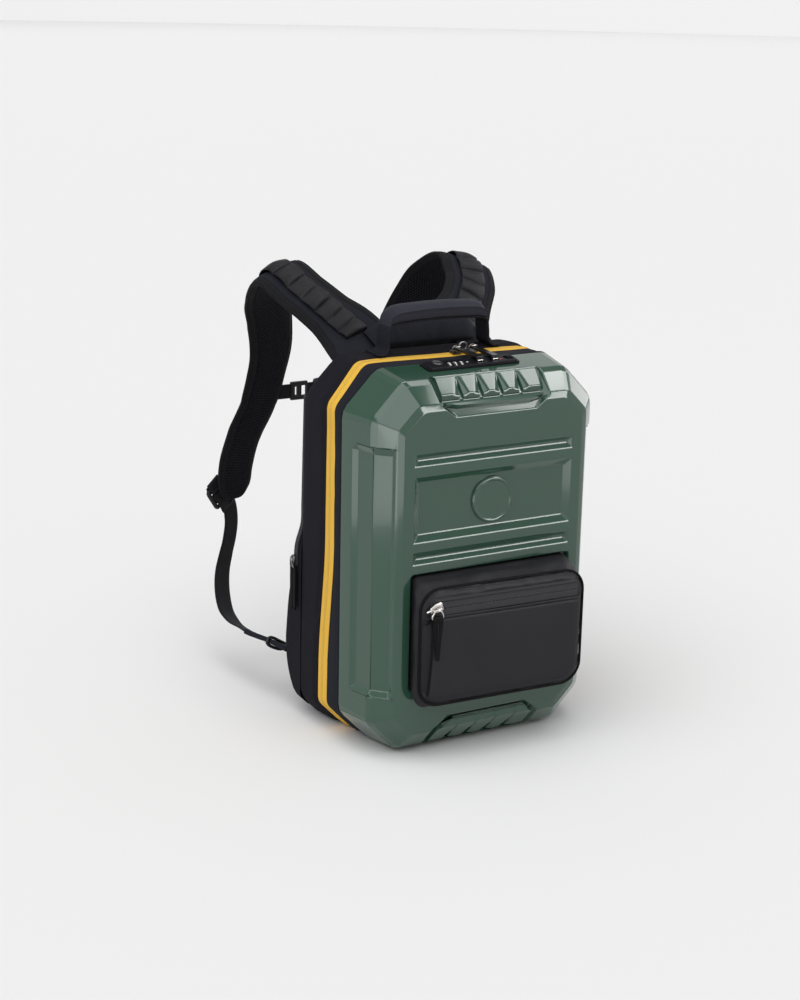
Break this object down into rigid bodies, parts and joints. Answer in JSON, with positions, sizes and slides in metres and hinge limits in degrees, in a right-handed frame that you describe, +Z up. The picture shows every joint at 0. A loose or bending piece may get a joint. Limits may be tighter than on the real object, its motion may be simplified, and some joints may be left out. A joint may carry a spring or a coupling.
{
  "type": "backpack",
  "caption": "Expandable backpack with a moulded front shell, a front pocket, a combination lock, a carrying handle and padded shoulder straps.",
  "frame": {"origin": "on the ground, in the middle of the bag's width and of the flat of its base, which is 85 mm behind the shell's rim", "axes": "+Z up, the shell and the pocket face -Y, the shoulder straps are at +Y, and +X is on the right of a person who looks at the shell"},
  "size_m": [0.3868, 0.5068, 0.5804],
  "materials": {
    "shell": "glossy",
    "cloth": "matte woven cloth",
    "trim": "matte woven cloth",
    "zip": "matte tape",
    "mesh": "matte spacer mesh",
    "webbing": "matte webbing",
    "coated": "satin coated cloth",
    "plastic": "matte",
    "metal": "polished",
    "gunmetal": "dark satin",
    "red": "glossy"
  },
  "bodies": {
    "bag": {"shell": "shell", "rim_trim": "trim", "main_zip": "zip", "body": "cloth", "lumbar_pad": "mesh", "back_pad": "mesh", "pocket_body": "coated", "pocket_piping": "coated", "pocket_zip": "cloth", "pocket_slider": "metal", "pocket_ring": "metal", "pocket_pull": "coated", "strap_pad_left": "cloth", "strap_pad_right": "cloth", "strap_webbing_left": "webbing", "strap_webbing_right": "webbing", "ladder_lock_left": "plastic", "ladder_lock_right": "plastic", "lock_tab_left": "webbing", "lock_tab_right": "webbing", "lower_webbing_left": "webbing", "lower_webbing_right": "webbing", "lower_tab_left": "webbing", "lower_tab_right": "webbing", "sternum_web_outer_left": "webbing", "sternum_web_outer_right": "webbing", "sternum_web_inner_left": "webbing", "sternum_web_inner_right": "webbing", "sternum_adjuster_left": "plastic", "sternum_adjuster_right": "plastic", "sternum_clasp": "plastic", "handle_webbing": "webbing", "handle_grip": "cloth", "lock_housing": "plastic", "indicator_dot": "red", "main_slider_left": "gunmetal", "main_slider_right": "gunmetal", "main_pull_left": "plastic", "main_pull_right": "plastic", "main_pull_tip_left": "metal", "main_pull_tip_right": "metal", "side_zip": "cloth", "side_slider": "metal", "side_pull_front": "plastic", "side_pull_rear": "plastic"},
    "first_dial": {"dial_1": "plastic"},
    "second_dial": {"dial_2": "plastic"},
    "third_dial": {"dial_3": "plastic"},
    "key_plug": {"key_plug": "gunmetal"},
    "release_button": {"release_button": "plastic"}
  },
  "joints": [
    {"name": "first_dial_turn", "type": "hinge", "parent": "bag", "child": "first_dial", "pos_m": [-0.0325, -0.10481, 0.48003], "axis": [1, 0, 0], "continuous": true},
    {"name": "second_dial_turn", "type": "hinge", "parent": "bag", "child": "second_dial", "pos_m": [-0.024, -0.10481, 0.48003], "axis": [1, 0, 0], "continuous": true},
    {"name": "third_dial_turn", "type": "hinge", "parent": "bag", "child": "third_dial", "pos_m": [-0.0155, -0.10481, 0.48003], "axis": [1, 0, 0], "continuous": true},
    {"name": "key_turn", "type": "hinge", "parent": "bag", "child": "key_plug", "pos_m": [-0.045, -0.09831, 0.48414], "axis": [0, -0.1379, 0.9904], "range_deg": [-90, 90]},
    {"name": "button_slide", "type": "slide", "parent": "bag", "child": "release_button", "axis": [-1, 0, 0], "range_m": [0, 0.003], "stiffness_N_per_m": 200, "springref_m": -0.001}
  ]
}
